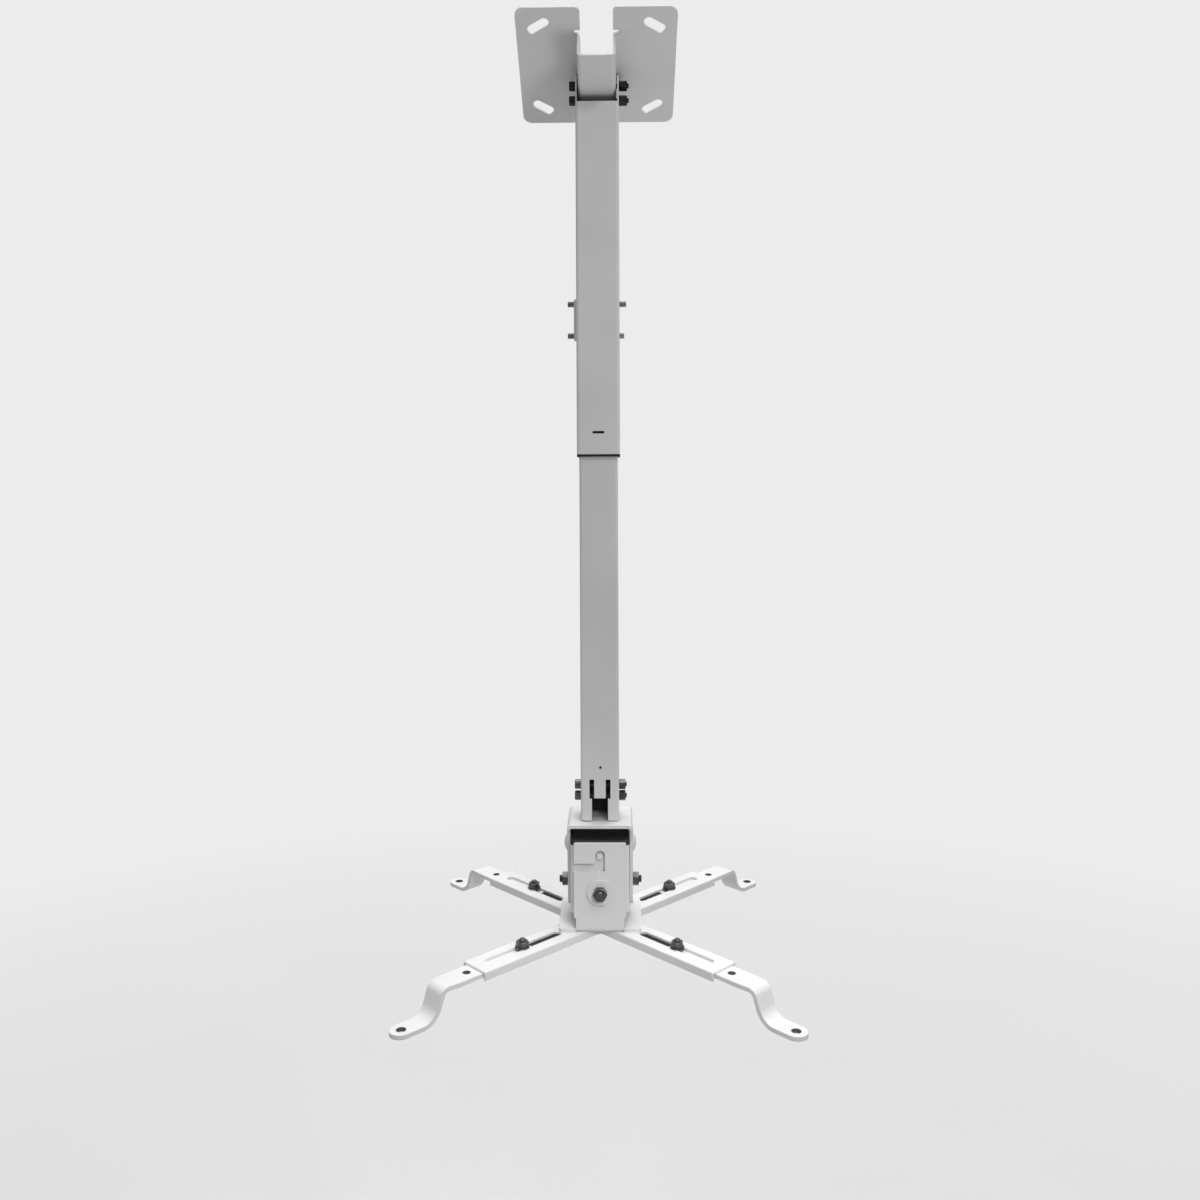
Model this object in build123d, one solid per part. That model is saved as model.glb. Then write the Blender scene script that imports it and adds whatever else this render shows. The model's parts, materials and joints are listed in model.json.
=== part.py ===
from build123d import *
import math
import os

os.makedirs("parts", exist_ok=True)

# ---------------------------------------------------------------- dimensions
# Millimetres. Origin: centre of the ceiling plate's upper face. +Z up, the
# mast hangs along -Z, the front of the mount faces -Y.

# ceiling bracket: one folded sheet, two wings, two ears and a web
TILT = 33.5            # slope of the ceiling plate about X, front edge up
PLATE_W = 102.0        # across both wings, X
PLATE_L = 85.0         # along the slope
SHEET = 1.8            # bracket sheet
NOTCH_W = 21.0         # clear width between the ears
WEB_H = 24.8           # web's lower face below the plate's upper face
EAR_S = 25.0           # half length of ears and web along the slope
WING_R = 6.0           # outer corners
WING_RI = 3.5          # inner corners
SLOT_X = 36.8          # fixing slots, centre
SLOT_S = 30.0
SLOT_LEN = 15.2
SLOT_WID = 6.4
SLOT_ANG = 31.0

PIVOT_Z = -13.1        # ceiling pivot bolt
LOCK_D = 9.5           # lock bolt below the pivot
PHI_MIN = 0.0          # mast to plate normal, lowest and highest
PHI_MAX = 36.0

# mast
OT_W = 28.0            # outer tube
OT_T = 1.0
OT_R = 2.0
OT_BOT = -254.2
OT_WALL_TOP = -27.6    # front wall ends here, under the bracket's web
OT_BACK_TOP = -33.0    # back wall ends here
CHEEK_R = 7.9          # round top of the side cheeks about the pivot
CLAMP_Z = (-155.4, -176.1)
SLIT_Z = -240.0
SLIT_W = 7.8
SLIT_H = 1.6
LINER_T = 0.38
LINER_FL = 1.5
LINER_TOP = -234.0

IT_W = 25.0            # inner tube
IT_T = 1.2
IT_R = 1.8
IT_TOP = -125.0
IT_BOT = -493.45
SOCK_BOLT_Z = (-472.4, -479.8)
CB_D = 3.5             # cross bolts at the ceiling pivot and the socket

# head
WEB_TOP = -493.5       # yoke web, upper face
YOKE_T = 2.0
YOKE_X = 21.3          # outer faces of the yoke's ears
YOKE_Y = 21.0          # half depth of the web
EAR_TOP_Y = 15.0
EAR_END_R = 8.5
EAR_END_Z = -543.0
PITCH_Z = -511.0       # pitch pivot, along X
PITCH_LOCK_Z = -535.5
PITCH_MAX = 12.0
ROLL_Z = -512.3        # roll pivot, along Y
ROLL_LOCK_Z = -534.8
ROLL_MAX = 8.0
RK_X = 19.0            # rocker, outer half sizes
RK_Y = 23.7
RK_T = 2.0
RK_TOP = -505.3
RK_BOT = -549.0
HG_X = 16.8            # hanger walls, half width
HG_Y = 26.0            # outer faces of the hanger's walls
HG_T = 2.0
HG_TOP = -503.2
HG_BOT = -560.5        # underside of the hanger's floor
HUB_W = 53.4           # the hanger's floor, across X
HUB_RIVET = 9.5
HOOK_W = 6.2           # hook slot, upright leg
HOOK_UP = 1.3          # room above the roll pin
PIN_R = 2.2            # roll pin
HOOK_Z = (-521.6, -516.4)

# spider and legs
SP_TOP = -560.5
SP_T = 1.5
SP_H = 5.2             # depth of the folded edge, sheet included
ARM_W = 21.2
ARM_END = 105.0
ARM_FILLET = 3.0
ARM_SLOT = (36.6, 96.3)
ARM_SLOT_W = 6.0
LEG_W = 16.0
LEG_T = 2.5
LEG_TOP = -562.1
LEG_IN = 60.5
LEG_R0 = 128.6         # start of the shoulder
LEG_R1 = 6.0           # upper face's radius at the shoulder
LEG_R2 = 10.0          # upper face's radius above the foot
LEG_ANG = 70.0         # slope of the drop
FOOT_W = 13.4          # leg narrows to this over the drop
GLIDE_IN = 35.2        # inner end of the plastic glide on the leg
LEG_BOLT_R = 67.8
LEG_HOLE_R = 110.8
FOOT_R = 156.7
FOOT_TOP = -579.5
FOOT_HOLE = 5.5

CLR = 0.05             # gap between faces that slide on each other


# ---------------------------------------------------------------- helpers
def put(name, *solids):
    shapes = []
    for s in solids:
        shapes += list(s.solids())
    shape = shapes[0] if len(shapes) == 1 else Compound(children=shapes)
    shape.label = name
    export_step(shape, f"parts/{name}.step")


def block(x0, x1, y0, y1, z0, z1):
    return Pos((x0 + x1) / 2, (y0 + y1) / 2, (z0 + z1) / 2) * Box(x1 - x0, y1 - y0, z1 - z0)


def rod_x(x0, x1, y, z, r):
    return Pos((x0 + x1) / 2, y, z) * Rot(0, 90, 0) * Cylinder(r, x1 - x0)


def rod_y(y0, y1, x, z, r):
    return Pos(x, (y0 + y1) / 2, z) * Rot(90, 0, 0) * Cylinder(r, y1 - y0)


def rod_z(z0, z1, x, y, r):
    return Pos(x, y, (z0 + z1) / 2) * Cylinder(r, z1 - z0)


def square_ring(w, t, r, z0, z1):
    ring = RectangleRounded(w, w, r) - RectangleRounded(w - 2 * t, w - 2 * t, max(r - t, 0.5))
    return Pos(0, 0, z0) * extrude(ring, z1 - z0)


def hex_body(af, h, bevel_top=True, bevel_bot=False):
    """Hexagon of width af across flats, z 0..h, corners turned off."""
    rc = af / math.sqrt(3)
    body = extrude(RegularPolygon(rc, 6), h)
    cut = Pos(0, 0, h / 2) * Cylinder(rc * 1.001, h)
    c = rc - af / 2 * 0.97
    edges = []
    if bevel_top:
        edges += cut.edges().filter_by(GeomType.CIRCLE).sort_by(Axis.Z)[-1:]
    if bevel_bot:
        edges += cut.edges().filter_by(GeomType.CIRCLE).sort_by(Axis.Z)[:1]
    cut = chamfer(edges, c * 0.55, c)
    return body & cut


def nut(af, h, bore):
    return hex_body(af, h, True, True) - Pos(0, 0, h / 2) * Cylinder(bore / 2, h + 1)


def washer(od, idia, t):
    ring = Pos(0, 0, t / 2) * (Cylinder(od / 2, t) - Cylinder(idia / 2, t + 1))
    return ring


def shank(d, length):
    rod = Pos(0, 0, length / 2) * Cylinder(d / 2, length)
    top = rod.edges().filter_by(GeomType.CIRCLE).sort_by(Axis.Z)[-1:]
    return chamfer(top, 0.45)


def cap_screw(d, length, hh):
    """Socket head cap screw: head below z 0, shank up to z length."""
    hd, key = 1.75 * d, 0.75 * d
    head = Pos(0, 0, -hh / 2) * Cylinder(hd / 2, hh)
    rim = head.edges().filter_by(GeomType.CIRCLE).sort_by(Axis.Z)[:1]
    head = fillet(rim, 0.4)
    socket = Pos(0, 0, -hh) * extrude(RegularPolygon(key / math.sqrt(3), 6), 0.55 * hh)
    return head - socket + shank(d, length)


def hex_bolt(d, af, hh, length):
    head = Pos(0, 0, -hh) * hex_body(af, hh, False, True)
    return head + shank(d, length)


to_px = Rot(0, 90, 0)        # local +Z to row +X
to_nx = Rot(0, -90, 0)       # local +Z to row -X
to_ny = Rot(90, 0, 0)        # local +Z to row -Y
to_py = Rot(-90, 0, 0)       # local +Z to row +Y

# ---------------------------------------------------------------- ceiling bracket
# drawn flat: X across, Y along the slope, Z = 0 at the upper face
wi, t = NOTCH_W / 2, SHEET
wo = wi + t
stub = wi + 4.0
hat_pts = [
    (stub, 0), (wi, 0), (wi, -WEB_H + t), (-wi, -WEB_H + t), (-wi, 0), (-stub, 0),
    (-stub, -t), (-wo, -t), (-wo, -WEB_H), (wo, -WEB_H), (wo, -t), (stub, -t),
]
hat = make_face(Polyline(*hat_pts, close=True))


def near(sk, pts):
    return [v for v in sk.vertices() for p in pts if abs(v.X - p[0]) < 1e-4 and abs(v.Y - p[1]) < 1e-4]


hat = fillet(near(hat, [(wi, 0), (-wi, 0), (wo, -WEB_H), (-wo, -WEB_H)]), t + 1.0)
hat = fillet(near(hat, [(wi, -WEB_H + t), (-wi, -WEB_H + t), (wo, -t), (-wo, -t)]), 1.0)
hat_solid = extrude(Plane.XZ * hat, EAR_S, both=True)

wing_len = PLATE_W / 2 - wi
wing = make_face(Polyline((wi, -PLATE_L / 2), (PLATE_W / 2, -PLATE_L / 2), (PLATE_W / 2, PLATE_L / 2), (wi, PLATE_L / 2), close=True))
wing = fillet(near(wing, [(PLATE_W / 2, -PLATE_L / 2), (PLATE_W / 2, PLATE_L / 2)]), WING_R)
wing = fillet(near(wing, [(wi, -PLATE_L / 2), (wi, PLATE_L / 2)]), WING_RI)
for sy in (-1, 1):
    ang = SLOT_ANG * -sy if sy > 0 else SLOT_ANG
    wing -= Pos(SLOT_X, sy * SLOT_S) * Rot(0, 0, ang) * SlotOverall(SLOT_LEN, SLOT_WID)
wing -= Pos((wi + stub) / 2 - 1, 0) * Rectangle(stub - wi + 2, 2 * EAR_S)
for sy in (-1, 1):
    wing -= Pos(wi + 0.5, sy * (EAR_S + 1.0)) * Rectangle(6.0, 2.0)
wing_solid = extrude(wing, -t)
bracket = hat_solid + wing_solid + mirror(wing_solid, Plane.YZ)

a = math.radians(TILT)
sp, hp = -PIVOT_Z * math.sin(a), -PIVOT_Z * math.cos(a)
bracket -= rod_x(-wo - 1, wo + 1, sp, -hp, CB_D / 2 + 0.05)
# arc slots for the lock bolt, about the pivot: angle 0 points away from the plate
lock_arc = CenterArc((sp, -hp), LOCK_D, -90 + PHI_MIN - 1.5, PHI_MAX - PHI_MIN + 3.0)
lock_slot = SlotArc(lock_arc, CB_D + 0.7)
lock_cut = extrude(Plane.YZ * lock_slot, wo + 1, both=True)
bracket -= lock_cut
bracket = Rot(-TILT, 0, 0) * bracket
put("ceiling_bracket", bracket)

# ---------------------------------------------------------------- outer tube
tube = square_ring(OT_W, OT_T, OT_R, OT_BOT, 0)
inner = OT_W / 2 - OT_T
tube -= block(-inner, inner, -20, 0, OT_WALL_TOP, 5)
tube -= block(-inner, inner, -0.1, 20, OT_BACK_TOP, 5)
# side cheeks: straight front edge, round top about the pivot, low rear corner


def tangent(px, pz, r, side):
    """Tangent point on a circle of radius r about 0,0 from an outside point."""
    d = math.hypot(px, pz)
    base = math.atan2(pz, px)
    off = math.acos(r / d)
    return (r * math.cos(base + side * off), r * math.sin(base + side * off))


fy, fz = -OT_W / 2 - 0.5, 1.0
by, bz = OT_W / 2 + 0.5, -4.0
tf = tangent(fy, fz, CHEEK_R, -1)
tb = tangent(by, bz, CHEEK_R, 1)
top_pt = (0.0, CHEEK_R)
cheek = make_face(
    Polyline((tb[0], tb[1]), (by, bz), (by, -300), (fy, -300), (fy, fz), (tf[0], tf[1]))
    + ThreePointArc(tf, top_pt, tb)
)
cheek_solid = Pos(0, 0, PIVOT_Z) * extrude(Plane.YZ * cheek, 20, both=True)
tube = tube & cheek_solid
for z in (PIVOT_Z, PIVOT_Z - LOCK_D):
    tube -= rod_x(-20, 20, 0, z, CB_D / 2 + 0.05)
for z in CLAMP_Z:
    tube -= rod_x(-20, 20, 0, z, 2.03)
tube -= Pos(0, -OT_W / 2, SLIT_Z) * Rot(90, 0, 0) * extrude(SlotOverall(SLIT_W, SLIT_H), 3, both=True)
put("outer_tube", tube)

# ceiling bolts: pivot above, lock below, heads on the left, nuts on the right
bolts, nuts = [], []
for z in (PIVOT_Z, PIVOT_Z - LOCK_D):
    bolts.append(Pos(-OT_W / 2 - CLR, 0, z) * to_px * cap_screw(CB_D, OT_W / 2 + CLR + 20.6, 4.4))
    nuts.append(Pos(OT_W / 2 + CLR, 0, z) * to_px * nut(6.0, 5.4, CB_D + 0.04))
put("ceiling_bolts", *bolts)
put("ceiling_nuts", *nuts)

# plastic liner in the lower end of the outer tube, its lip under the tube's end
lo = inner - 0.02
li = lo - LINER_T
liner = RectangleRounded(2 * lo, 2 * lo, 0.98) - RectangleRounded(2 * li, 2 * li, 0.6)
lip = RectangleRounded(OT_W, OT_W, OT_R) - RectangleRounded(2 * li, 2 * li, 0.6)
liner_solid = Pos(0, 0, OT_BOT) * extrude(liner, LINER_TOP - OT_BOT)
liner_solid += Pos(0, 0, OT_BOT - LINER_FL) * extrude(lip, LINER_FL)
put("tube_liner", liner_solid)

# nut plate on the left wall, four set screws that grip the inner tube
zc = sum(CLAMP_Z) / 2
zl = abs(CLAMP_Z[0] - CLAMP_Z[1])
np_face = Plane.YZ * RectangleRounded(12.0, zl + 5.8, 2.4)
plate = Pos(-OT_W / 2, 0, zc) * extrude(np_face, -1.8)
for z in CLAMP_Z:
    plate -= rod_x(-20, -12, 0, z, 2.03)
put("clamp_nut_plate", plate)


def set_screw(length):
    body = Pos(0, 0, length / 2) * Cylinder(2.0, length)
    ends = body.edges().filter_by(GeomType.CIRCLE)
    body = chamfer(ends, 0.45)
    return body - Pos(0, 0, length - 2.0) * extrude(RegularPolygon(2.0 / math.sqrt(3), 6), 3)


tip = IT_W / 2 + 0.1
screws = [Pos(-tip, 0, z) * to_nx * set_screw(7.4) for z in CLAMP_Z]
screws += [Pos(tip, 0, z) * to_px * set_screw(l) for z, l in zip(CLAMP_Z, (5.8, 4.4))]
put("clamp_screws", *screws)

# ---------------------------------------------------------------- inner tube
it = square_ring(IT_W, IT_T, IT_R, IT_BOT, IT_TOP)
for z in SOCK_BOLT_Z:
    it -= rod_x(-20, 20, 0, z, CB_D / 2 + 0.05)
for sx in (-1, 1):
    x0, x1 = sorted((sx * 3.8, sx * 6.8))
    it -= block(x0, x1, -16, -10, -478.6, -466.0)
it -= block(-5.2, 5.2, -16, -10, IT_BOT - 1, -478.3)
it -= rod_y(-16, -10, 0.4, -458.2, 0.9)
it -= block(-16, 16, -16, 10, IT_BOT - 1, IT_BOT + 0.6)   # stands on its back wall
put("inner_tube", it)

# socket: two upright plates on the yoke's web, inside the tube
plates = []
for sx in (-1, 1):
    x0, x1 = sorted((sx * 11.1, sx * 9.1))
    plate = block(x0, x1, -8, 8, WEB_TOP, -463.5)
    plate = fillet([e for e in plate.edges().filter_by(Axis.X) if e.center().Z > -464], 3.0)
    for z in SOCK_BOLT_Z:
        plate -= rod_x(-20, 20, 0, z, CB_D / 2 + 0.05)
    plates.append(plate)
put("tube_socket", *plates)

bolts, nuts = [], []
for z in SOCK_BOLT_Z:
    bolts.append(Pos(-IT_W / 2 - CLR, 0, z) * to_px * cap_screw(CB_D, IT_W / 2 + CLR + 17.6, 4.2))
    nuts.append(Pos(IT_W / 2 + CLR, 0, z) * to_px * nut(6.0, 4.2, CB_D + 0.04))
put("socket_bolts", *bolts)
put("socket_nuts", *nuts)

# ---------------------------------------------------------------- yoke
yb = WEB_TOP - YOKE_T
y_end = EAR_END_Z - EAR_END_R
u = make_face(Polyline(
    (-YOKE_X, WEB_TOP), (YOKE_X, WEB_TOP), (YOKE_X, y_end), (YOKE_X - YOKE_T, y_end), (YOKE_X - YOKE_T, yb),
    (-YOKE_X + YOKE_T, yb), (-YOKE_X + YOKE_T, y_end), (-YOKE_X, y_end), close=True))
u = fillet(near(u, [(-YOKE_X, WEB_TOP), (YOKE_X, WEB_TOP)]), 3.0)
u = fillet(near(u, [(YOKE_X - YOKE_T, yb), (-YOKE_X + YOKE_T, yb)]), 1.0)
yoke = extrude(Plane.XZ * u, YOKE_Y, both=True)
ear_side = make_face(Polyline(
    (-YOKE_Y, WEB_TOP + 1), (YOKE_Y, WEB_TOP + 1), (YOKE_Y, -496.8), (EAR_TOP_Y, -496.8), (EAR_TOP_Y, -504.0),
    (EAR_END_R, EAR_END_Z), (-EAR_END_R, EAR_END_Z), (-EAR_TOP_Y, -504.0), (-EAR_TOP_Y, -496.8), (-YOKE_Y, -496.8), close=True))
ear_side += Pos(0, EAR_END_Z) * Circle(EAR_END_R)
yoke = yoke & extrude(Plane.YZ * ear_side, 40, both=True)
yoke -= rod_x(-30, 30, 0, PITCH_Z, 2.55)
yoke -= rod_x(-30, 30, 0, PITCH_LOCK_Z, 2.55)
put("yoke", yoke)

# pitch lock: heads inside the rocker, nuts outside the ears
bolts, washers, nuts = [], [], []
wall_in = RK_X - RK_T
for sx, turn in ((-1, to_nx), (1, to_px)):
    at = Pos(sx * (wall_in - 0.1 - 1.0), 0, PITCH_LOCK_Z) * turn
    bolts.append(at * hex_bolt(5.0, 8.0, 3.5, 27.2 - (wall_in - 1.1)))
    washers.append(at * washer(10.0, 5.3, 1.0))
    nuts.append(Pos(sx * (YOKE_X + CLR), 0, PITCH_LOCK_Z) * turn * nut(8.0, 4.0, 5.04))
put("pitch_lock_bolts", *bolts)
put("pitch_lock_washers", *washers)
put("pitch_lock_nuts", *nuts)

# ---------------------------------------------------------------- rocker
ring = RectangleRounded(2 * RK_X, 2 * RK_Y, 3.0) - RectangleRounded(2 * RK_X - 2 * RK_T, 2 * RK_Y - 2 * RK_T, 1.0)
rocker = Pos(0, 0, RK_BOT) * extrude(ring, RK_TOP - RK_BOT)
rocker -= rod_x(-30, 30, 0, PITCH_Z, 2.53)
arc = CenterArc((0, PITCH_Z), PITCH_Z - PITCH_LOCK_Z, -90 - PITCH_MAX - 1.2, 2 * PITCH_MAX + 2.4)
rocker -= extrude(Plane.YZ * SlotArc(arc, 5.6), 30, both=True)
rocker -= rod_y(-30, 30, 0, ROLL_Z, PIN_R + 0.03)
rocker -= rod_y(-30, 30, 0, ROLL_LOCK_Z, 2.55)
put("rocker", rocker)

# black plastic plug in the rocker's open top
cap = Pos(0, 0, RK_TOP) * extrude(RectangleRounded(2 * RK_X, 2 * RK_Y, 3.0), 3.2)
cap = fillet(cap.faces().sort_by(Axis.Z)[-1].edges(), 1.2)
sk_y = RK_Y - RK_T - 0.1
plug = cap
for sy in (-1, 1):
    y0, y1 = sorted((sy * sk_y, sy * (sk_y - 1.5)))
    for sx in (-1, 1):
        x0, x1 = sorted((sx * 6, sx * 13))
        plug += block(x0, x1, y0, y1, RK_TOP - 4.0, RK_TOP + 0.5)
put("rocker_plug", plug)

# pitch rivets: domed heads outside the ears, flat heads inside the rocker
rivets = []
for turn in (to_nx, to_px):
    x_out = YOKE_X + CLR
    dome = revolve(Plane.XZ * make_face(
        Polyline((6.2, 0), (0, 0), (0, 2.4)) + ThreePointArc((0, 2.4), (3.9, 1.66), (6.2, 0))), Axis.Z)
    body = Pos(0, 0, x_out) * dome
    body += Pos(0, 0, (x_out + wall_in) / 2) * Cylinder(2.5, x_out - wall_in)
    body += Pos(0, 0, wall_in - 0.6) * Cylinder(4.0, 1.2)
    rivets.append(Pos(0, 0, PITCH_Z) * turn * body)
put("pitch_rivets", *rivets)

# roll pins, front and back: flat head inside the rocker, plain end in the hook slot
pins = []
for turn in (to_ny, to_py):
    y_in = RK_Y - RK_T
    y_out = HG_Y - 0.8
    pin = Pos(0, 0, (y_in + y_out) / 2) * Cylinder(PIN_R, y_out - y_in)
    end = pin.edges().filter_by(GeomType.CIRCLE).sort_by(Axis.Z)[-1:]
    pin = chamfer(end, 0.4)
    pin += Pos(0, 0, y_in - 0.6) * Cylinder(4.4, 1.2)
    pins.append(Pos(0, 0, ROLL_Z) * turn * pin)
put("roll_pins", *pins)

# roll lock: heads inside the rocker, washers and nuts on the hanger's walls
bolts, washers, nuts = [], [], []
for turn in (to_ny, to_py):
    y_in = RK_Y - RK_T - CLR
    at = Pos(0, 0, ROLL_LOCK_Z) * turn
    bolts.append(at * Pos(0, 0, y_in) * hex_bolt(5.0, 8.0, 3.5, HG_Y + 7.2 - y_in))
    washers.append(at * Pos(0, 0, HG_Y + CLR) * washer(16.5, 5.3, 1.3))
    nuts.append(at * Pos(0, 0, HG_Y + CLR + 1.3) * nut(8.0, 4.0, 5.04))
put("roll_lock_bolts", *bolts)
put("roll_lock_washers", *washers)
put("roll_lock_nuts", *nuts)

# ---------------------------------------------------------------- hanger
u = make_face(Polyline(
    (-HG_Y, HG_BOT), (HG_Y, HG_BOT), (HG_Y, HG_TOP), (HG_Y - HG_T, HG_TOP), (HG_Y - HG_T, HG_BOT + HG_T),
    (-HG_Y + HG_T, HG_BOT + HG_T), (-HG_Y + HG_T, HG_TOP), (-HG_Y, HG_TOP), close=True))
u = fillet(near(u, [(-HG_Y, HG_BOT), (HG_Y, HG_BOT)]), 2.6)
u = fillet(near(u, [(HG_Y - HG_T, HG_BOT + HG_T), (-HG_Y + HG_T, HG_BOT + HG_T)]), 0.6)
hanger = extrude(Plane.YZ * u, HG_X, both=True)
# hook slot: in from the left edge, then up over the roll pin
hook = Pos((-HG_X - 2 + HOOK_W / 2) / 2, sum(HOOK_Z) / 2) * Rectangle(HG_X + 2 + HOOK_W / 2, HOOK_Z[1] - HOOK_Z[0])
hook_top = ROLL_Z + HOOK_UP
hook += Pos(0, (HOOK_Z[0] + hook_top) / 2) * Rectangle(HOOK_W, hook_top - HOOK_Z[0])
hook += Pos(0, hook_top) * Circle(HOOK_W / 2)
arc = CenterArc((0, ROLL_Z), ROLL_Z - ROLL_LOCK_Z, -90 - ROLL_MAX - 1.2, 2 * ROLL_MAX + 2.4)
hook += SlotArc(arc, 5.6)
# bend reliefs at the feet of the walls
for sx in (-1, 1):
    hook += Pos(sx * HG_X, HG_BOT + 5.6) * Rectangle(2.6, 7.2)
hanger -= extrude(Plane.XZ * hook, 40, both=True)
top_edges = [e for e in hanger.edges().filter_by(Axis.Y) if abs(e.center().Z - HG_TOP) < 0.01]
hanger = fillet(top_edges, 1.0)
# the floor is wider than the walls
floor = Pos(0, 0, HG_BOT) * extrude(RectangleRounded(HUB_W, 2 * HG_Y, 3.0), HG_T)
side = HG_X - 1.3
floor -= block(-side, side, -40, 40, HG_BOT - 1, HG_BOT + HG_T + 1)
hanger += floor
spots = [(HUB_RIVET, 0), (-HUB_RIVET, 0), (0, HUB_RIVET), (0, -HUB_RIVET)]
for x, y in spots:
    hanger -= rod_z(-570, -540, x, y, 2.03)
put("hanger", hanger)

# four rivets through the hanger's floor and the spider
rivets = []
under = SP_TOP - SP_T
for x, y in spots:
    body = rod_z(under, HG_BOT + HG_T, x, y, 2.0)
    for z0, z1 in ((HG_BOT + HG_T, HG_BOT + HG_T + 1.2), (under - 1.2, under)):
        body += rod_z(z0, z1, x, y, 3.0)
    rivets.append(body)
put("hub_rivets", *rivets)

# ---------------------------------------------------------------- spider
arm = Rectangle(2 * ARM_END, ARM_W)
cross = Rot(0, 0, 45) * arm + Rot(0, 0, -45) * arm
inner_v = [v for v in cross.vertices() if math.hypot(v.X, v.Y) < ARM_W]
cross = fillet(inner_v, ARM_FILLET)
spider = Pos(0, 0, SP_TOP - SP_H) * extrude(cross, SP_H)
top_outer = spider.faces().sort_by(Axis.Z)[-1].outer_wire().edges()
spider = fillet(top_outer, 1.0)
arm_in = Rectangle(2 * ARM_END + 20, ARM_W - 2 * SP_T)
hollow = Rot(0, 0, 45) * arm_in + Rot(0, 0, -45) * arm_in
inner_v = [v for v in hollow.vertices() if math.hypot(v.X, v.Y) < ARM_W]
hollow = fillet(inner_v, ARM_FILLET + SP_T)
spider -= Pos(0, 0, SP_TOP - SP_H - 1) * extrude(hollow, SP_H + 1 - SP_T)
mid, run = sum(ARM_SLOT) / 2, ARM_SLOT[1] - ARM_SLOT[0]
for k in range(4):
    spider -= Rot(0, 0, 45 + 90 * k) * Pos(mid, 0, SP_TOP - 3) * extrude(SlotOverall(run, ARM_SLOT_W), 6)
for x, y in spots:
    spider -= rod_z(-580, -540, x, y, 2.03)
put("spider", spider)

# ---------------------------------------------------------------- legs
# side view: flat, shoulder, sloped drop, wide bend, foot
ca, sa = math.cos(math.radians(LEG_ANG)), math.sin(math.radians(LEG_ANG))
ch, sh = math.cos(math.radians(LEG_ANG / 2)), math.sin(math.radians(LEG_ANG / 2))
fall = (LEG_TOP - FOOT_TOP - (LEG_R1 + LEG_R2) * (1 - ca)) / sa
c1 = (LEG_R0, LEG_TOP - LEG_R1)
p3 = (c1[0] + LEG_R1 * sa + fall * ca, c1[1] + LEG_R1 * ca - fall * sa)
c2 = (p3[0] + LEG_R2 * sa, p3[1] + LEG_R2 * ca)
LEG_DROP_R = c2[0]


def leg_side(d):
    """Edges of the leg's face at depth d under its upper face."""
    r1, r2 = LEG_R1 - d, LEG_R2 + d
    q1, q2 = (c1[0], c1[1] + r1), (c1[0] + r1 * sa, c1[1] + r1 * ca)
    q3, q4 = (c2[0] - r2 * sa, c2[1] - r2 * ca), (c2[0], c2[1] - r2)
    m1 = (c1[0] + r1 * sh, c1[1] + r1 * ch)
    m2 = (c2[0] - r2 * sh, c2[1] - r2 * ch)
    ends = (LEG_IN, q1[1]), (FOOT_R + 15, q4[1])
    return ends, [Line(ends[0], q1), ThreePointArc(q1, m1, q2), Line(q2, q3), ThreePointArc(q3, m2, q4), Line(q4, ends[1])]


(top0, top1), top_edges = leg_side(0)
(bot0, bot1), bot_edges = leg_side(LEG_T)
outline = top_edges + [Line(top1, bot1)] + bot_edges + [Line(bot0, top0)]
bar = extrude(Plane.XZ * make_face(outline), LEG_W / 2 + 1, both=True)
hw, hf = LEG_W / 2, FOOT_W / 2
plan = make_face(Polyline(
    (LEG_IN, -hw), (LEG_R0 - 7, -hw), (LEG_R0 + 10, -hf), (FOOT_R, -hf),
    (FOOT_R, hf), (LEG_R0 + 10, hf), (LEG_R0 - 7, hw), (LEG_IN, hw), close=True))
plan = fillet([v for v in plan.vertices() if v.X < LEG_IN + 1], 3.0)
plan = fillet([v for v in plan.vertices() if abs(v.X - LEG_R0 + 7) < 0.1 or abs(v.X - LEG_R0 - 10) < 0.1], 8.0)
plan += Pos(FOOT_R, 0) * Circle(hf)
leg = bar & (Pos(0, 0, -600) * extrude(plan, 60))
leg -= rod_z(-600, -540, FOOT_R, 0, FOOT_HOLE / 2)
leg -= rod_z(-600, -540, LEG_HOLE_R, 0, 2.3)
leg -= rod_z(-600, -540, LEG_BOLT_R, 0, 2.05)

head_z = LEG_TOP - LEG_T - CLR
lbolt = Pos(LEG_BOLT_R, 0, head_z) * hex_bolt(4.0, 7.0, 2.8, SP_TOP + CLR + 5.5 - head_z)
lwash = Pos(LEG_BOLT_R, 0, SP_TOP + CLR) * washer(9.0, 4.3, 0.8)
lnut = Pos(LEG_BOLT_R, 0, SP_TOP + CLR + 0.8) * Rot(0, 0, 12) * nut(7.0, 3.2, 4.04)
# plastic glide on the leg's inner end, a tongue of it laps under the leg
leg_bot = LEG_TOP - LEG_T
glide = block(GLIDE_IN, LEG_IN - CLR, -7.5, 7.5, leg_bot, LEG_TOP - CLR)
glide = fillet([e for e in glide.edges().filter_by(Axis.Z) if e.center().X < GLIDE_IN + 1], 2.5)
glide += block(40, LEG_IN - CLR, -6, 6, leg_bot - CLR - 1.2, leg_bot)
glide += block(40, 63.2, -6, 6, leg_bot - CLR - 1.2, leg_bot - CLR)
for name, ang in (("front_left", -135), ("front_right", -45), ("rear_right", 45), ("rear_left", 135)):
    turn = Rot(0, 0, ang)
    put(f"leg_{name}", turn * leg)
    put(f"leg_glide_{name}", turn * glide)
    put(f"leg_bolt_{name}", turn * lbolt)
    put(f"leg_washer_{name}", turn * lwash)
    put(f"leg_nut_{name}", turn * lnut)
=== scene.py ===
import bpy
import json
import math
from mathutils import Matrix, Vector


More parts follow.
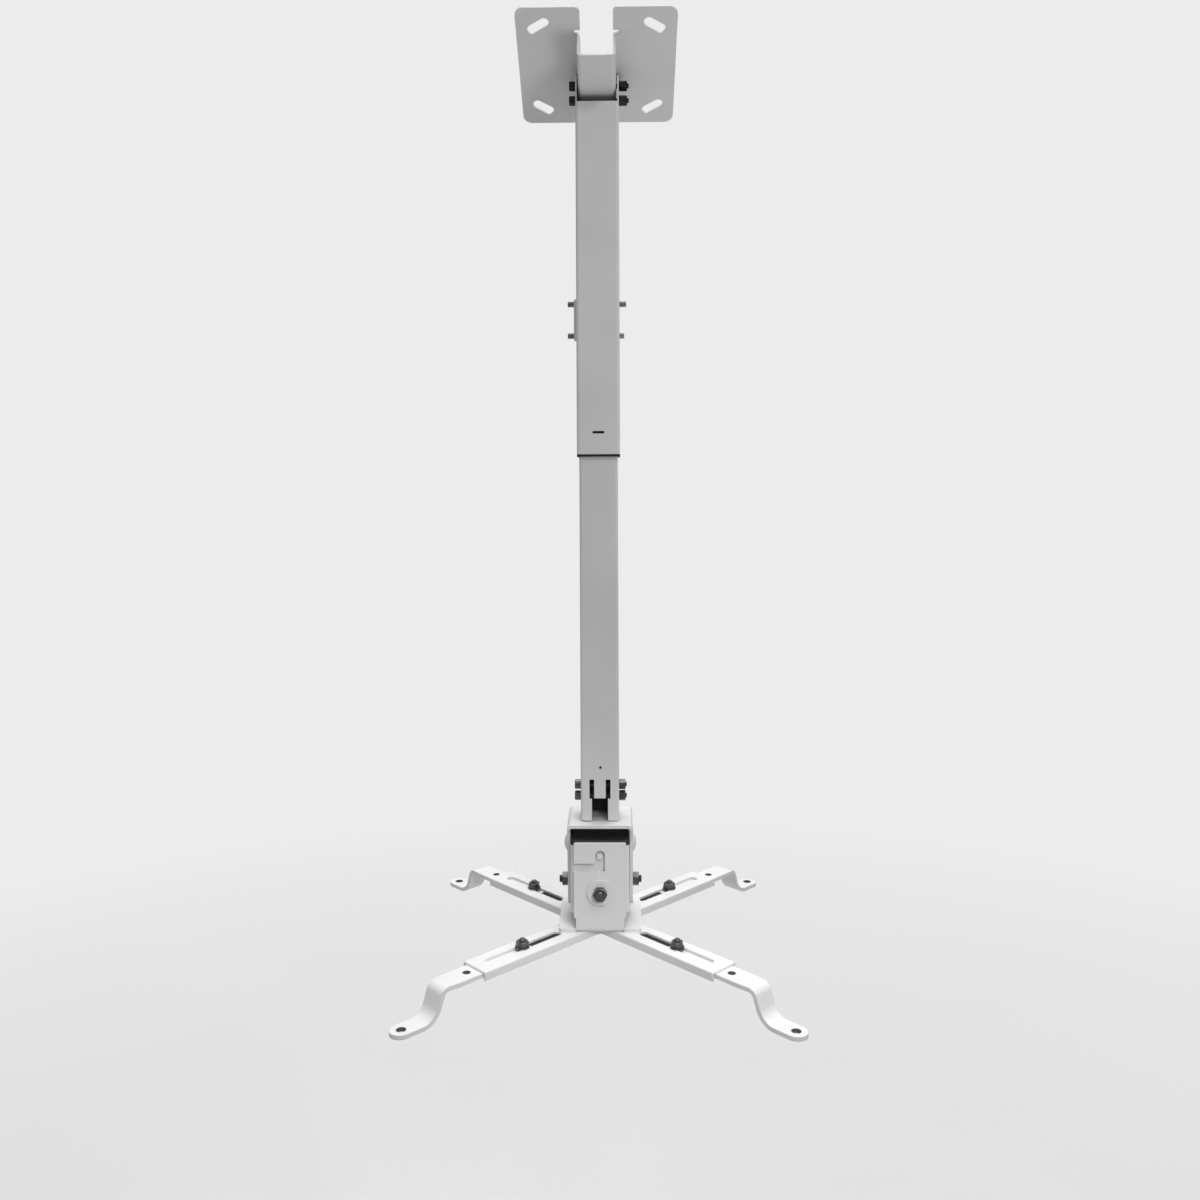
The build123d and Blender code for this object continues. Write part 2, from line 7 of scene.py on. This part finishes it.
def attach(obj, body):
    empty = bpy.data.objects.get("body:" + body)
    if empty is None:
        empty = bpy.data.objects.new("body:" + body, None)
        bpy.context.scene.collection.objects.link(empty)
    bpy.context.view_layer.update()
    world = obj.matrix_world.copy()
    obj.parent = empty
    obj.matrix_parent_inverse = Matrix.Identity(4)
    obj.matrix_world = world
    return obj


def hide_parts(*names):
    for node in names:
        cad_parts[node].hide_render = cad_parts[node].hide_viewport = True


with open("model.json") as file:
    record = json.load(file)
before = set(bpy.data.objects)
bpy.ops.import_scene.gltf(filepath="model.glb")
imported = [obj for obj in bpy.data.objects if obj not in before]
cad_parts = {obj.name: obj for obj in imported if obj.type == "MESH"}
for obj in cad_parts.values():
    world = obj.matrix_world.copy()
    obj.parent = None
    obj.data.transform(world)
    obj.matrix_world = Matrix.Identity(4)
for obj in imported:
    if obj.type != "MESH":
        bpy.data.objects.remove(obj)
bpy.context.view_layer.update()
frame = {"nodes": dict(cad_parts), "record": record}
nodes = frame["nodes"]
scene = bpy.context.scene
MM = 0.001

# ------------------------------------------------------------------ node helpers


def new_mat(name):
    m = bpy.data.materials.new(name)
    m.use_nodes = True
    nt = m.node_tree
    nt.nodes.clear()
    out = nt.nodes.new("ShaderNodeOutputMaterial")
    bsdf = nt.nodes.new("ShaderNodeBsdfPrincipled")
    nt.links.new(bsdf.outputs["BSDF"], out.inputs["Surface"])
    return m, nt, bsdf


def noise(nt, vec, scale, detail=3.0, rough=0.5):
    n = nt.nodes.new("ShaderNodeTexNoise")
    n.inputs["Scale"].default_value = scale
    n.inputs["Detail"].default_value = detail
    n.inputs["Roughness"].default_value = rough
    nt.links.new(vec, n.inputs["Vector"])
    return n.outputs["Fac"]


def ramp(nt, fac, lo, hi, a, b):
    r = nt.nodes.new("ShaderNodeMapRange")
    r.inputs["From Min"].default_value = lo
    r.inputs["From Max"].default_value = hi
    r.inputs["To Min"].default_value = a
    r.inputs["To Max"].default_value = b
    nt.links.new(fac, r.inputs["Value"])
    return r.outputs["Result"]


def math2(nt, op, a, b):
    m = nt.nodes.new("ShaderNodeMath")
    m.operation = op
    nt.links.new(a, m.inputs[0])
    if isinstance(b, float):
        m.inputs[1].default_value = b
    else:
        nt.links.new(b, m.inputs[1])
    return m.outputs[0]


def mult(nt, a, b):
    return math2(nt, "MULTIPLY", a, b)


def mix(nt, fac, a, b):
    """Colour mix; a and b are sockets or RGB tuples."""
    m = nt.nodes.new("ShaderNodeMix")
    m.data_type = "RGBA"
    nt.links.new(fac, m.inputs["Factor"])
    for sock, v in (("A", a), ("B", b)):
        s = [i for i in m.inputs if i.name == sock and i.type == "RGBA"][0]
        if isinstance(v, tuple):
            s.default_value = (*v, 1.0)
        else:
            nt.links.new(v, s)
    return [o for o in m.outputs if o.type == "RGBA"][0]


def bump(nt, height, strength, dist, normal=None):
    b = nt.nodes.new("ShaderNodeBump")
    b.inputs["Strength"].default_value = strength
    b.inputs["Distance"].default_value = dist
    nt.links.new(height, b.inputs["Height"])
    if normal is not None:
        nt.links.new(normal, b.inputs["Normal"])
    return b.outputs["Normal"]


def edge_mask(nt, radius):
    """About 1 along edges, 0 on open faces. Also gives the rounded normal."""
    bev = nt.nodes.new("ShaderNodeBevel")
    bev.samples = 4
    bev.inputs["Radius"].default_value = radius
    geo = nt.nodes.new("ShaderNodeNewGeometry")
    dot = nt.nodes.new("ShaderNodeVectorMath")
    dot.operation = "DOT_PRODUCT"
    nt.links.new(bev.outputs["Normal"], dot.inputs[0])
    nt.links.new(geo.outputs["Normal"], dot.inputs[1])
    return ramp(nt, dot.outputs["Value"], 0.995, 0.80, 0.0, 1.0), bev.outputs["Normal"]


def coords(nt):
    t = nt.nodes.new("ShaderNodeTexCoord")
    return t.outputs["Object"]


def stretched(nt, vec, scale):
    m = nt.nodes.new("ShaderNodeMapping")
    m.inputs["Scale"].default_value = scale
    nt.links.new(vec, m.inputs["Vector"])
    return m.outputs["Vector"]


def inside_mask(nt, vec, half):
    """1 where both |x| and |y| are under half: the bore of a square tube about Z."""
    s = nt.nodes.new("ShaderNodeSeparateXYZ")
    nt.links.new(vec, s.inputs[0])
    ab = []
    for k in (0, 1):
        a = nt.nodes.new("ShaderNodeMath")
        a.operation = "ABSOLUTE"
        nt.links.new(s.outputs[k], a.inputs[0])
        ab.append(a.outputs[0])
    big = math2(nt, "MAXIMUM", ab[0], ab[1])
    return ramp(nt, big, half - 0.0001, half + 0.0001, 1.0, 0.0)


def hole_shade_mask(nt, vec, holes):
    """1 on the walls of upright holes; each hole is (|x| = |y| of its axis, radius)."""
    s = nt.nodes.new("ShaderNodeSeparateXYZ")
    nt.links.new(vec, s.inputs[0])
    ab = []
    for k in (0, 1):
        a = nt.nodes.new("ShaderNodeMath")
        a.operation = "ABSOLUTE"
        nt.links.new(s.outputs[k], a.inputs[0])
        ab.append(a.outputs[0])
    mask = None
    for c, r in holes:
        xy = nt.nodes.new("ShaderNodeCombineXYZ")
        nt.links.new(math2(nt, "SUBTRACT", ab[0], c), xy.inputs[0])
        nt.links.new(math2(nt, "SUBTRACT", ab[1], c), xy.inputs[1])
        ln = nt.nodes.new("ShaderNodeVectorMath")
        ln.operation = "LENGTH"
        nt.links.new(xy.outputs[0], ln.inputs[0])
        one = ramp(nt, ln.outputs["Value"], r + 0.00005, r + 0.00035, 1.0, 0.0)
        mask = one if mask is None else math2(nt, "MAXIMUM", mask, one)
    return mask


# ------------------------------------------------------------------ materials


def coat(name, base, worn, wear=0.5, bore=None, holes=None):
    """Satin powder coat: orange peel, faint clouding, specks, thin spots along edges.
    Inside a tube of half width bore the coat gives way to near-black steel: partly bare steel, partly painted shade of
    the bore. The walls of holes are painted dark as painted shade."""
    m, nt, b = new_mat(name)
    v = coords(nt)
    edge, soft_n = edge_mask(nt, 0.0005)
    cloud = ramp(nt, noise(nt, v, 22.0, 4.0), 0.3, 0.7, 0.0, 1.0)
    light = tuple(min(1.0, c * 1.03) for c in base)
    dark = tuple(c * 0.955 for c in base)
    col = mix(nt, cloud, dark, light)
    speck = ramp(nt, noise(nt, v, 650.0, 2.0), 0.66, 0.74, 0.0, 0.30)
    col = mix(nt, speck, col, tuple(c * 0.82 for c in base))
    patch = ramp(nt, noise(nt, v, 120.0, 5.0, 0.65), 0.46, 0.66, 0.0, wear)
    col = mix(nt, mult(nt, edge, patch), col, worn)
    rgh = ramp(nt, noise(nt, v, 180.0, 3.0), 0.3, 0.7, 0.33, 0.46)
    if bore:
        # painted shade: inside the bore the colour turns near-black, partly bare steel, partly painted shade of the
        # tube's interior
        ins = inside_mask(nt, v, bore)
        scale = noise(nt, stretched(nt, v, (1.0, 1.0, 0.12)), 240.0, 4.0, 0.6)
        steel = mix(nt, ramp(nt, scale, 0.3, 0.7, 0.0, 1.0), (0.030, 0.029, 0.028), (0.075, 0.072, 0.068))
        col = mix(nt, ins, col, steel)
        rgh = math2(nt, "ADD", rgh, mult(nt, ins, ramp(nt, scale, 0.3, 0.7, 0.12, 0.24)))
    if holes:
        # painted shade: the walls of the holes are painted dark
        col = mix(nt, hole_shade_mask(nt, v, holes), col, (0.11, 0.108, 0.104))
    nt.links.new(col, b.inputs["Base Color"])
    nt.links.new(rgh, b.inputs["Roughness"])
    peel = noise(nt, v, 780.0, 2.0, 0.45)
    n1 = bump(nt, peel, 0.42, 0.00014, soft_n)
    swell = noise(nt, v, 60.0, 2.0)
    nt.links.new(bump(nt, swell, 0.10, 0.0006, n1), b.inputs["Normal"])
    b.inputs["Specular IOR Level"].default_value = 0.45
    return m


def zinc(name, base, rough=0.40, tinge=0.35):
    """Plated steel: cloudy grey metal with fine scratches and rubbed edges."""
    m, nt, b = new_mat(name)
    v = coords(nt)
    edge, soft_n = edge_mask(nt, 0.00022)
    cloud = ramp(nt, noise(nt, v, 260.0, 5.0, 0.6), 0.32, 0.68, 0.0, 1.0)
    col = mix(nt, cloud, tuple(c * 0.72 for c in base), tuple(min(1.0, c * 1.18) for c in base))
    tint = ramp(nt, noise(nt, v, 90.0, 2.0), 0.45, 0.75, 0.0, tinge)
    col = mix(nt, tint, col, (base[0] * 1.05, base[1] * 1.0, base[2] * 0.80))
    col = mix(nt, ramp(nt, edge, 0.2, 1.0, 0.0, 0.6), col, tuple(min(1.0, c * 1.6) for c in base))
    nt.links.new(col, b.inputs["Base Color"])
    b.inputs["Metallic"].default_value = 0.9
    nt.links.new(ramp(nt, noise(nt, v, 500.0, 4.0), 0.3, 0.7, rough - 0.10, rough + 0.14), b.inputs["Roughness"])
    scr = noise(nt, stretched(nt, v, (1.0, 1.0, 6.0)), 900.0, 3.0, 0.6)
    nt.links.new(bump(nt, scr, 0.25, 0.00006, soft_n), b.inputs["Normal"])
    return m


def plastic(name, base):
    """Moulded black plastic: fine spark-eroded grain, edges lighter as a painted highlight."""
    m, nt, b = new_mat(name)
    v = coords(nt)
    edge, soft_n = edge_mask(nt, 0.0004)
    cloud = ramp(nt, noise(nt, v, 70.0, 4.0), 0.3, 0.7, 0.0, 1.0)
    col = mix(nt, cloud, tuple(c * 0.75 for c in base), tuple(c * 1.3 for c in base))
    # painted highlight: the colour is lifted along the edges
    col = mix(nt, ramp(nt, edge, 0.0, 1.0, 0.0, 0.4), col, tuple(c * 2.6 for c in base))
    nt.links.new(col, b.inputs["Base Color"])
    nt.links.new(ramp(nt, noise(nt, v, 300.0, 3.0), 0.3, 0.7, 0.46, 0.62), b.inputs["Roughness"])
    grain = noise(nt, v, 2600.0, 2.0)
    nt.links.new(bump(nt, grain, 0.35, 0.00008, soft_n), b.inputs["Normal"])
    b.inputs["Specular IOR Level"].default_value = 0.35
    return m


PAINT = (0.72, 0.72, 0.715)
WORN = (0.40, 0.40, 0.39)
WHITE = coat("coat_white", PAINT, WORN, 0.40)
# painted shade: a darker copy of the white coat for the ceiling bracket, against the strong overhead light on the plate
WHITE_BRACKET_SHADED = coat("coat_white_bracket_shaded", (0.655, 0.655, 0.65), WORN, 0.40)
# the tube coats paint near-black inside the bore: partly bare steel, partly painted shade
WHITE_OUTER = coat("coat_white_outer_tube", PAINT, WORN, 0.40, 0.0133)
WHITE_INNER = coat("coat_white_inner_tube", PAINT, WORN, 0.40, 0.0116)
# the leg coat paints the walls of its foot holes dark as painted shade
WHITE_LEG = coat("coat_white_leg", PAINT, WORN, 0.40, None, ((0.1108, 0.00275), (0.07835, 0.0023)))
ZINC = zinc("zinc_dull", (0.135, 0.135, 0.13))
ZINC_MID = zinc("zinc_plain", (0.36, 0.36, 0.35), 0.38)
ZINC_LIGHT = zinc("zinc_bright", (0.55, 0.545, 0.53), 0.36)
# the ceiling bolts and nuts are near-black: partly a blackened finish, partly painted shade under the ceiling plate
BLACKENED_AND_SHADED = zinc("steel_blackened_and_shaded", (0.040, 0.040, 0.041), 0.36, 0.10)
# painted shade: the tube socket gets dark steel in place of its white coat, painting the shade inside the tube's foot
SOCKET_SHADE_STEEL = zinc("steel_socket_painted_shade", (0.10, 0.098, 0.095), 0.50)
BLACK = plastic("plastic_black", (0.011, 0.011, 0.012))

SLOT_MAT = {"coated_steel": WHITE, "black_plastic": BLACK, "zinc_fastener": ZINC}
NODE_MAT = {
    "ceiling_bracket": WHITE_BRACKET_SHADED,
    "outer_tube": WHITE_OUTER,
    "inner_tube": WHITE_INNER,
    "tube_socket": SOCKET_SHADE_STEEL,
    "pitch_rivets": WHITE,
    "clamp_screws": ZINC_MID,
    "ceiling_bolts": BLACKENED_AND_SHADED,
    "ceiling_nuts": BLACKENED_AND_SHADED,
    "roll_pins": WHITE,
    "hub_rivets": ZINC_LIGHT,
    "roll_lock_washers": WHITE,
}
for k in ("front_left", "front_right", "rear_right", "rear_left"):
    NODE_MAT["leg_" + k] = WHITE_LEG
node_slot = {}
for s in frame["record"]["subparts"]:
    node_slot[s["node"]] = s["material_slot"]


def node_mat(name):
    return NODE_MAT.get(name, SLOT_MAT[node_slot[name]])


for name, ob in nodes.items():
    ob.data.materials.clear()
    ob.data.materials.append(node_mat(name))

# ------------------------------------------------------------------ threaded fasteners
# Drawn along local +Z in millimetres as a stack of rings; a radius may depend on the angle.
SEG = 72


def make_mesh(name, verts, faces):
    me = bpy.data.meshes.new(name)
    me.from_pydata(verts, [], faces)
    me.update()
    ob = bpy.data.objects.new(name, me)
    scene.collection.objects.link(ob)
    return ob


def ring(z, radius):
    out = []
    for i in range(SEG):
        t = 2 * math.pi * i / SEG
        r = radius(t) if callable(radius) else radius
        out.append((r * math.cos(t), r * math.sin(t), z))
    return out


def hexagon(af):
    def r(t):
        u = (t + math.pi / 6) % (math.pi / 3) - math.pi / 6
        return af / 2 / math.cos(u)
    return r


def least(a, b):
    return lambda t: min(a(t) if callable(a) else a, b(t) if callable(b) else b)


def thread_rings(d, pitch, z0, z1):
    """Rings of a single-start thread from z0 up to a turned tip at z1."""
    depth = 0.56 * pitch
    tip = 0.6 * pitch
    n = max(2, int(round((z1 - z0) / pitch * 8)))
    out = []
    for k in range(n + 1):
        z = z0 + (z1 - z0) * k / n
        lead = min(1.0, (z - z0) / pitch)

        def r(t, z=z, lead=lead):
            f = (z / pitch - t / (2 * math.pi)) % 1.0
            w = 1.0 - abs(2.0 * f - 1.0)
            w = min(1.0, max(0.0, (w - 0.10) / 0.74))
            free = d / 2 - depth * w * lead
            cone = d / 2 - depth * 1.05 + (z1 - z) * depth * 1.05 / tip
            return min(free, cone)
        out.append(ring(z, r))
    return out


def stack(rings, verts, faces, place):
    """Joins rings into a closed skin, with a flat cap on each end."""
    base = len(verts)
    for rg in rings:
        verts += [tuple(place @ Vector(p) * MM) for p in rg]
    for k in range(len(rings) - 1):
        a, b = base + k * SEG, base + (k + 1) * SEG
        for i in range(SEG):
            j = (i + 1) % SEG
            faces.append((a + i, a + j, b + j, b + i))
    faces.append(tuple(base + i for i in reversed(range(SEG))))
    last = base + (len(rings) - 1) * SEG
    faces.append(tuple(last + i for i in range(SEG)))


def hex_bolt(d, af, hh, length, pitch, thread_from):
    hx = hexagon(af)
    rc = af / math.sqrt(3)
    out = [ring(-hh, 0.6), ring(-hh, af * 0.455)]
    for k in range(7):
        z = 0.09 * af * k / 6
        out.append(ring(-hh + z, least(hx, af * 0.47 + z * (rc - af * 0.47) / (0.09 * af))))
    out += [ring(-0.25, hx), ring(-0.25, af * 0.475), ring(0, af * 0.475), ring(0, d / 2)]
    return out + [ring(thread_from, d / 2)] + thread_rings(d, pitch, thread_from, length)[1:]


def cap_bolt(d, length, hh, pitch, thread_from):
    hd, key = 1.75 * d, 0.75 * d

    def knurl(t):
        return hd / 2 - 0.07 * (round(t / (2 * math.pi) * SEG) % 2)
    hx = hexagon(key)
    deep = -hh + 0.55 * hh
    out = [ring(deep + 0.35, 0.2), ring(deep, least(hx, key * 0.46)), ring(deep, hx), ring(-hh + 0.15, hx)]
    out += [ring(-hh, lambda t: hx(t) + 0.15), ring(-hh, hd / 2 - 0.45)]
    for k in range(1, 5):
        a = math.pi / 2 * k / 4
        out.append(ring(-hh + 0.4 * (1 - math.cos(a)), hd / 2 - 0.45 + 0.4 * math.sin(a)))
    out += [ring(-hh + 0.62, knurl), ring(-0.5, knurl), ring(-0.3, hd / 2 - 0.02), ring(0, hd / 2 - 0.12), ring(0, d / 2)]
    return out + [ring(thread_from, d / 2)] + thread_rings(d, pitch, thread_from, length)[1:]


def set_screw(length, pitch):
    """Foot at z 0, hexagon socket in the far end."""
    d, key = 4.0, 2.0
    hx = hexagon(key)
    out = [ring(0, 0.3), ring(0, 1.35), ring(0.45, 1.58)]
    out += thread_rings(d, pitch, 0.45, length)[1:]
    deep = length - 2.0
    out += [ring(length, key * 0.66), ring(length - 0.12, hx), ring(deep, hx), ring(deep - 0.3, 0.2)]
    return out


def to_x(s):
    return Matrix(((0, 0, s), (0, 1, 0), (-s, 0, 0))).to_4x4()


def to_y(s):
    return Matrix(((1, 0, 0), (0, 0, s), (0, -s, 0))).to_4x4()


def at(x, y, z):
    return Matrix.Translation((x, y, z))


node_body = {}
for body, members in frame["record"]["behaviour"]["bodies"].items():
    for n in members:
        node_body[n] = body


def fastener(node, items):
    verts, faces = [], []
    for rings, place in items:
        stack(rings, verts, faces, place)
    ob = make_mesh(node + "_threaded", verts, faces)
    for p in ob.data.polygons:
        p.use_smooth = True
    ob.data.set_sharp_from_angle(angle=math.radians(28))
    ob.data.materials.append(node_mat(node))
    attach(ob, node_body[node])
    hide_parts(node)
    return ob


fastener("ceiling_bolts", [(cap_bolt(3.5, 34.65, 4.4, 0.6, 26.0), at(-14.05, 0, z) @ to_x(1)) for z in (-13.1, -22.6)])
fastener("socket_bolts", [(cap_bolt(3.5, 30.15, 4.2, 0.6, 22.5), at(-12.55, 0, z) @ to_x(1)) for z in (-472.4, -479.8)])
fastener("clamp_screws", [(set_screw(7.4, 0.7), at(-12.6, 0, z) @ to_x(-1)) for z in (-155.4, -176.1)]
         + [(set_screw(n, 0.7), at(12.6, 0, z) @ to_x(1)) for z, n in ((-155.4, 5.8), (-176.1, 4.4))])
fastener("pitch_lock_bolts", [(hex_bolt(5.0, 8.0, 3.5, 11.3, 0.8, 1.4), at(s * 15.9, 0, -535.5) @ to_x(s)) for s in (-1, 1)])
fastener("roll_lock_bolts", [(hex_bolt(5.0, 8.0, 3.5, 11.55, 0.8, 2.0), at(0, s * 21.65, -534.8) @ to_y(s)) for s in (-1, 1)])
for nm, ang in (("front_left", -135), ("front_right", -45), ("rear_right", 45), ("rear_left", 135)):
    a = math.radians(ang)
    place = at(67.8 * math.cos(a), 67.8 * math.sin(a), -564.65) @ Matrix.Rotation(a, 4, "Z")
    fastener("leg_bolt_" + nm, [(hex_bolt(4.0, 7.0, 2.8, 9.7, 0.7, 2.6), place)])

# ------------------------------------------------------------------ stage
FLOOR_Z = -1.15
radii = [0.0, 0.25, 0.5, 0.75, 1.0, 1.3, 1.6, 2.0, 2.4]
verts, faces = [(0.0, 0.0, FLOOR_Z)], []
for r in radii[1:]:
    for i in range(SEG):
        t = 2 * math.pi * i / SEG
        verts.append((r * math.cos(t), r * math.sin(t), FLOOR_Z))
for i in range(SEG):
    faces.append((0, 1 + i, 1 + (i + 1) % SEG))
for k in range(len(radii) - 2):
    a, b = 1 + k * SEG, 1 + (k + 1) * SEG
    for i in range(SEG):
        j = (i + 1) % SEG
        faces.append((a + i, b + i, b + j, a + j))
floor = make_mesh("studio_floor", verts, faces)
sm, snt, sb = new_mat("floor_paper")
sv = coords(snt)
snt.links.new(mix(snt, noise(snt, sv, 3.0, 3.0), (0.61, 0.61, 0.61), (0.64, 0.64, 0.64)), sb.inputs["Base Color"])
sb.inputs["Roughness"].default_value = 0.85
ln = snt.nodes.new("ShaderNodeVectorMath")
ln.operation = "LENGTH"
snt.links.new(sv, ln.inputs[0])
# the floor thins out towards its rim
snt.links.new(ramp(snt, ln.outputs["Value"], 1.45, 2.35, 1.0, 0.0), sb.inputs["Alpha"])
floor.data.materials.append(sm)

# ------------------------------------------------------------------ light


def area(name, loc, aim, size, power, spread=180.0):
    li = bpy.data.lights.new(name, "AREA")
    li.energy = power
    li.size = size
    li.spread = math.radians(spread)
    ob = bpy.data.objects.new(name, li)
    ob.location = loc
    ob.rotation_euler = (Vector(aim) - Vector(loc)).to_track_quat("-Z", "Y").to_euler()
    ob.visible_camera = False
    scene.collection.objects.link(ob)
    return ob


area("key_front_right", (0.63, -0.96, 1.17), (0.0, 0.0, -0.05), 0.16, 5.2)
area("overhead", (0.25, 1.25, 4.60), (0.0, 0.03, -0.5), 4.0, 208.0)
area("head_front", (0.16, -0.50, -0.20), (-0.01, -0.03, -0.60), 0.12, 0.050, 32.0)
area("plate_fill", (0.40, -0.30, -0.50), (0.03, 0.0, -0.02), 0.20, 0.10, 60.0)

world = bpy.data.worlds.new("studio")
scene.world = world
world.use_nodes = True
wt = world.node_tree
wt.nodes.clear()
wout = wt.nodes.new("ShaderNodeOutputWorld")
lit = wt.nodes.new("ShaderNodeBackground")
seen = wt.nodes.new("ShaderNodeBackground")
seen.inputs["Color"].default_value = (1.0, 1.0, 1.0, 1.0)
seen.inputs["Strength"].default_value = 0.84
lit.inputs["Color"].default_value = (1.0, 1.0, 1.0, 1.0)
tc = wt.nodes.new("ShaderNodeTexCoord")
sep = wt.nodes.new("ShaderNodeSeparateXYZ")
wt.links.new(tc.outputs["Generated"], sep.inputs[0])
# lighter above than below, and a little lighter on the right
wt.links.new(mult(wt, ramp(wt, sep.outputs[2], -0.2, 0.9, 0.112, 0.78), ramp(wt, sep.outputs[0], -1.0, 1.0, 0.88, 1.10)),
             lit.inputs["Strength"])
path = wt.nodes.new("ShaderNodeLightPath")
ms = wt.nodes.new("ShaderNodeMixShader")
wt.links.new(path.outputs["Is Camera Ray"], ms.inputs[0])
wt.links.new(lit.outputs[0], ms.inputs[1])
wt.links.new(seen.outputs[0], ms.inputs[2])
wt.links.new(ms.outputs[0], wout.inputs["Surface"])

# ------------------------------------------------------------------ camera
yaw, pitch, roll = 0.0148, -0.0198, -0.0042
fw = Vector((-math.sin(yaw) * math.cos(pitch), math.cos(yaw) * math.cos(pitch), math.sin(pitch)))
right = Vector((math.cos(yaw), math.sin(yaw), 0.0))
up = right.cross(fw)
rx = right * math.cos(roll) + up * math.sin(roll)
uy = up * math.cos(roll) - right * math.sin(roll)
cam = bpy.data.cameras.new("camera")
cam.sensor_fit = "HORIZONTAL"
cam.sensor_width = 36.0
cam.lens = 31.678
cam.shift_y = -0.08
cam.clip_start = 0.01
cam_ob = bpy.data.objects.new("camera", cam)
m = Matrix.Identity(4)
for k, v in enumerate((rx, uy, -fw)):
    for i in range(3):
        m[i][k] = v[i]
m.translation = (0.01096, -0.69651, -0.27286)
cam_ob.matrix_world = m
scene.collection.objects.link(cam_ob)
scene.camera = cam_ob

scene.view_settings.view_transform = "Standard"
scene.view_settings.look = "None"
